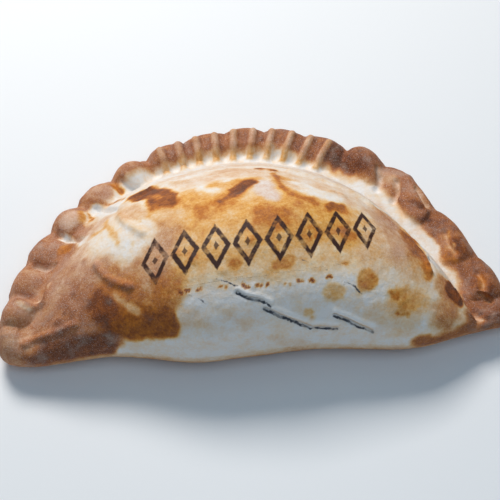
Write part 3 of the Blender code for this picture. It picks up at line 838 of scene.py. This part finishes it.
# %% Golden touches
GOLD_TOUCHES = (
    (.66, 1.5, (-37.6, 17.8), (-36.0, 16.4)), (.56, 1.3, (-47.3, 7.6), (-46.2, 5.6)),
    (.76, .8, (-44.6, 7.6), (-43.2, 5.6)), (.66, 1.7, (-52.2, -4.5), (-50.4, -5.2)),
    (.46, 1.0, (-43.0, -5.3), (-39.5, -3.8), (-38.9, -1)),
    (.44, 1.2, (-39.2, -3.6), (-36.9, -7.8), (-36.2, -11.6)), (.62, .5, (-31.6, -8.9)),
    (.60, .45, (-30.2, -7.2)), (.62, .5, (-31.9, -12.7)), (.66, .5, (-35.5, -11.8)),
    (.86, 2.0, (-31.4, 5.6), (-29.4, 7.6), (-27.2, 7.6)), (.60, .9, (-27.2, 5.0), (-24.8, 1.8)),
    (.90, 1.6, (-5.6, -1.2), (-3.2, 1.6), (-1.2, 3.6)), (.74, 1.2, (-8.6, -4.6), (-5.6, -1.2)),
    (.84, 1.1, (1.5, 13.8), (4.0, 12.8), (6.0, 12.3)),
    (.66, 1.2, (6.0, 9.3), (7.0, 2.5), (9.4, -3.0), (13.4, -4.2), (15.6, -5.6)),
    (.76, 1.8, (20.0, -6.0), (22.6, -6.6)), (.58, 1.8, (12.8, -15.4), (14.0, -15.2)),
    (.62, 1.5, (21.2, -14.2), (22.8, -14.0)), (.58, 1.8, (3.6, -23.0), (7.4, -23.0)),
    (.60, 1.6, (-7.4, -23.1), (-6.2, -23.1)), (.52, 2.6, (26.2, -26.3), (26.6, -26.3)),
    (.38, 2.4, (18.0, -29.5), (18.6, -29.5)), (.64, 1.3, (33.4, -28.4), (34.2, -28.4)),
    (.68, .6, (20.6, -22.6)), (.40, 1.1, (11.6, -32.6), (12.2, -33.6)),
    (.50, 1.8, (36, -30.8), (39, -30.2)), (.68, .8, (34.4, -32.6), (37, -33)),
    (.90, 2.4, (50.4, -22.0), (50.6, -26.0)), (.86, 1.2, (43.2, 8.8), (45.6, 7.0), (46.8, 5.4)),
    (.90, 1.3, (54.3, -5.4), (55.2, -8.4)),
    (.62, .9, (52.1, -3.4), (51.4, -6.6), (52.0, -9.6), (53.8, -11.2)),
    (.88, .8, (58.8, -15.8), (60.2, -18.8), (61.0, -21.6)),
    (.84, .8, (58.0, -19.4), (58.6, -22.6), (60.6, -24.2)), (.62, 1.6, (42.6, -19), (43.4, -21)),
)
CHAR_DASHES = (
    (-21.4, -28.7), (-18.1, -28.1), (-14.1, -28.7), (-9.6, -28.4), (-3.7, -28.6), (-1.0, -28.4),
    (2.1, -28.2), (5.3, -28.0), (9.6, -27.3), (12.7, -27.1), (17.6, -26.1),
)
for x, y in CHAR_DASHES:
    brush(.88, .50, .62, .6, .95, (x - .6, y), (x + .5, y + .1))
for level, reach, *places in GOLD_TOUCHES:
    brush(level, .15, reach, 1.3, .95, *places)
brush(.02, .30, 1.0, .8, 1, (52.6, -7.1))
print(len(GOLD_TOUCHES), "golden touches")

# %% [markdown]
# ## Marks for the shader
# The paint and the relief marks become attributes that the material reads. A seared band of lozenges runs
# along the belly, as an iron would leave it. Each point near it gets a place along the band and across it, so
# that the shader can draw thin crisp outlines that a mesh of this fineness couldn't hold.

# %% Marks
def store(name, values):
    if name in crust_mesh.attributes:
        crust_mesh.attributes.remove(crust_mesh.attributes[name])
    made = crust_mesh.attributes.new(name, "FLOAT", "POINT")
    made.data.foreach_set("value", np.asarray(values, dtype=np.float32))

def read_mark(name):
    values = np.empty(len(crust_mesh.vertices), dtype=np.float32)
    crust_mesh.attributes[name].data.foreach_get("value", values)
    return values

# Ribs are painted paler and the stamped rim between them a little darker: painted highlight on the ribs and
# painted shade between them.
ribs = smooth_step(0.25, 0.75, read_mark("rib"))
bake[:] += 0.05 * stamped(skin_angle) * on_rim * (1 - ribs)
bake[:] += (0.42 - bake) * 0.95 * ribs
relief = 0.10 * read_mark("crease") + 0.10 * read_mark("blister") * (bake > .2) - 0.24 * read_mark("groove")
bake[:] = bake + relief
bake[:] = bake + (0.55 - bake) * underside
dull[:] = dull + (0.6 - dull) * underside
store("bake", np.clip(bake, 0, 1))
store("dull", np.clip(dull, 0, 1))

BAND = (
    (-33.0, -20.2), (-29.2, -19.8), (-24.8, -19.5), (-19.6, -18.7), (-14.6, -18.4), (-9.6, -18.4),
    (0.3, -17.9), (10.2, -16.4), (20.0, -14.2), (28.8, -11.8), (33.3, -10.4), (38.0, -8.8),
)
band_line = along(BAND, 0.5)
band_length = np.concatenate(([0], np.cumsum(np.linalg.norm(np.diff(band_line, axis=0), axis=1)))) / MM
gap = np.full(len(skin), 1e3)
band_along = np.zeros(len(skin))
for (x, y, z), length in zip(band_line, band_length):
    apart = np.linalg.norm(skin - (x, y, z), axis=1) / MM
    closer = apart < gap
    gap[closer], band_along[closer] = apart[closer], length
side = np.sign(skin[:, 1] - np.interp(skin[:, 0], band_line[:, 0], band_line[:, 1]))
fine_x = np.interp(skin[:, 0], band_line[:, 0], band_length)
inside_band = (gap < 9) & (skin[:, 2] > 0.006)
store("band_along", np.where(inside_band, fine_x, -50))
store("band_across", np.where(inside_band, side * gap, 50))
print("band is", round(float(band_length[-1])), "mm long")

# %% [markdown]
# ## The material
# Two colour ramps turn the bake level into colour, one golden and one dull, and the dullness mixes them.
# Noise at several sizes breaks the level up first, so no border is even. Fine flour, cracks with painted grey
# shadow inside them and pale lips, and the seared band lie on top. Baked dough is rough, with a faint gloss
# where it is golden.

# %% Material helpers
def colour(code):
    parts = [int(code[k:k + 2], 16) / 255 for k in (1, 3, 5)]
    return tuple((p / 12.92 if p <= 0.04045 else ((p + 0.055) / 1.055) ** 2.4) for p in parts) + (1,)

crust_material.use_nodes = True
paint = crust_material.node_tree
shader = paint.nodes["Principled BSDF"]
place = node(paint, "ShaderNodeTexCoord").outputs["Object"]

def sums(operation, first, second=0.0, clamp=False):
    return maths(paint, operation, first, second, clamp)

def wander(value, amount):
    return sums("MULTIPLY", sums("SUBTRACT", value, 0.5), amount)

def mark(name):
    return node(paint, "ShaderNodeAttribute", attribute_name=name).outputs["Fac"]

def grain(scale, detail=3.0, roughness=0.5):
    made = node(paint, "ShaderNodeTexNoise", {
        "Vector": place, "Scale": scale, "Detail": detail, "Roughness": roughness})
    return made.outputs[0]

def ranged(value, start, end, low_value=0.0, high_value=1.0):
    return node(paint, "ShaderNodeMapRange", {
        "Value": value, "From Min": start, "From Max": end, "To Min": low_value, "To Max": high_value},
        interpolation_type="SMOOTHSTEP").outputs[0]

def mix(factor, first, second):
    made = node(paint, "ShaderNodeMix", data_type="RGBA")
    for name, value in (("Factor", factor), ("A", first), ("B", second)):
        socket = next(s for s in made.inputs if s.enabled and s.name == name)
        if isinstance(value, bpy.types.NodeSocket):
            paint.links.new(value, socket)
        else:
            socket.default_value = value
    return next(s for s in made.outputs if s.enabled)

def ramp(value, stops):
    made = node(paint, "ShaderNodeValToRGB", {"Fac": value})
    band = made.color_ramp
    while len(band.elements) < len(stops):
        band.elements.new(0.5)
    for element, (position, code) in zip(band.elements, stops):
        element.position, element.color = position, colour(code)
    return made.outputs["Color"]

print("cream is", [round(part, 3) for part in colour("#e4ddd6")[:3]])

# %% Crust colour
GOLDEN = (
    (0, "#e6e2de"), (.25, "#e9cfa6"), (.45, "#e0a652"), (.62, "#c07012"), (.80, "#87440a"), (1, "#381503"))
DULL = ((0, "#e3ded9"), (.30, "#d0aa90"), (.55, "#a66a46"), (.80, "#6a3820"), (1, "#381a0c"))

level = sums("ADD", mark("bake"), wander(grain(95), 0.24))
level = sums("ADD", level, wander(grain(380), 0.36))
level = sums("ADD", level, wander(grain(1500, 5.0, 0.7), 0.42))
dullness = sums("ADD", mark("dull"), wander(grain(240), 0.5), clamp=True)
base = mix(dullness, ramp(level, GOLDEN), ramp(level, DULL))

smear = sums("MULTIPLY", ranged(grain(190, 5.0, 0.6), 0.50, 0.72), sums("MULTIPLY", dullness, 0.42))
base = mix(smear, base, colour("#dcbca6"))
flour = ranged(grain(4200, 3.0, 0.6), 0.54, 0.66)
flour = sums("MULTIPLY", flour, sums("MULTIPLY", dullness, 0.40))
base = mix(flour, base, colour("#e8e0dc"))
print("golden ramp", len(GOLDEN), "stops, dull ramp", len(DULL), "stops")

# %% [markdown]
# ## Seared lozenges
# The iron's outlines are about a millimetre wide and burnt unevenly. A distance to the lozenge's outline, in
# millimetres along and across the band, is compared with half the line's width.

# %% Seared band
LOZENGES, LOZENGE_PITCH, LOZENGE_HALF_WIDTH, LOZENGE_HALF_HEIGHT = 8, 7.95, 3.35, 5.5
LINE_HALF_WIDTH, BAND_LEAD = 0.60, 3.6
shifted = sums("SUBTRACT", mark("band_along"), BAND_LEAD)
cell = sums("DIVIDE", shifted, LOZENGE_PITCH)
from_middle = sums("ABSOLUTE", sums("SUBTRACT", sums("FRACT", cell), 0.5))
across = sums("ABSOLUTE", mark("band_across"))
wide_share = sums("MULTIPLY", from_middle, LOZENGE_PITCH / LOZENGE_HALF_WIDTH)
diamond = sums("ADD", wide_share, sums("DIVIDE", across, LOZENGE_HALF_HEIGHT))
slant = 1 / math.hypot(1 / LOZENGE_HALF_WIDTH, 1 / LOZENGE_HALF_HEIGHT)
from_line = sums("MULTIPLY", sums("ABSOLUTE", sums("SUBTRACT", diamond, 0.94)), slant)
from_line = sums("ADD", from_line, wander(grain(900), 0.5))
outline = ranged(from_line, LINE_HALF_WIDTH - 0.18, LINE_HALF_WIDTH + 0.18, 1.0, 0.0)
in_cells = sums("MULTIPLY", sums("GREATER_THAN", cell, 0.0), sums("LESS_THAN", cell, LOZENGES))
outline = sums("MULTIPLY", outline, in_cells)
outline = sums("MULTIPLY", outline, ranged(grain(420), 0.30, 0.52, 0.45, 1.0))
ragged_diamond = sums("ADD", diamond, wander(grain(900), 0.2))
core = ranged(ragged_diamond, 0.17, 0.27, 1.0, 0.0)
core = sums("MULTIPLY", sums("MULTIPLY", core, in_cells), 0.85)
base = mix(sums("MAXIMUM", outline, core), base, colour("#38190d"))
print(LOZENGES, "lozenges,", LOZENGE_PITCH, "mm apart")

# %% Cracks and surface
def vector_maths(operation, first, second=(0, 0, 0), output="Vector"):
    return node(paint, "ShaderNodeVectorMath", {0: first, 1: second}, operation=operation).outputs[output]

def gap_to_segment(where, start, end):
    span = end - start
    away = vector_maths("SUBTRACT", where, tuple(start))
    share = vector_maths("DOT_PRODUCT", away, tuple(span / span.dot(span)), "Value")
    share = sums("ADD", share, 0.0, clamp=True)
    foot = scaled(paint, tuple(span), share)
    return vector_maths("LENGTH", vector_maths("SUBTRACT", away, foot), output="Value")

ragged = node(paint, "ShaderNodeTexNoise", {"Vector": place, "Scale": 700.0, "Detail": 3.0}).outputs["Color"]
ragged = scaled(paint, vector_maths("SUBTRACT", ragged, (.5, .5, .5)), 0.0009)
torn = vector_maths("ADD", place, ragged)
gap = None
for places in CRACKS:
    corners = np.array(places) * MM
    corners = np.column_stack((corners, surface_height(corners[:, 0], corners[:, 1]) - 0.0003))
    for start, end in zip(corners[:-1], corners[1:]):
        here = sums("ADD", gap_to_segment(torn, start, end), 0.0 if places in DEEP_CRACKS else 0.00012)
        gap = here if gap is None else sums("MINIMUM", gap, here)

base = mix(sums("MULTIPLY", mark("lip"), 0.7), base, colour("#efedea"))
# The cracks' blue-grey and the dark line down each crack are painted shadow, standing in for the shade inside
# the cracks.
base = mix(sums("MULTIPLY", mark("crack"), 0.35), base, colour("#8f9399"))
crack_shadow = ranged(gap, 0.00026, 0.00050, 1.0, 0.0)
base = mix(sums("MULTIPLY", crack_shadow, ranged(grain(350), 0.28, 0.5, 0.5, 1.0)), base, colour("#47474d"))
paint.links.new(base, shader.inputs["Base Color"])

rough = sums("ADD", 0.62, sums("MULTIPLY", dullness, 0.16))
rough = sums("ADD", rough, wander(grain(900), 0.25), clamp=True)
paint.links.new(rough, shader.inputs["Roughness"])
shader.inputs["Specular IOR Level"].default_value = 0.35

fine_height = sums("MULTIPLY", grain(2400, 4.0, 0.6), 0.00010)
height = sums("ADD", fine_height, sums("MULTIPLY", grain(700), 0.00022))
bump = node(paint, "ShaderNodeBump", {"Height": height, "Strength": 0.8, "Distance": 1.0})
paint.links.new(bump.outputs[0], shader.inputs["Normal"])
print("crust material:", len(paint.nodes), "nodes")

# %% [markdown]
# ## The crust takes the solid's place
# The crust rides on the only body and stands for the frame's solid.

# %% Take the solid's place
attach(crust, "root")
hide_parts("empanada")
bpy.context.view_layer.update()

def plain(box):
    return [[float(number) for number in corner] for corner in box]
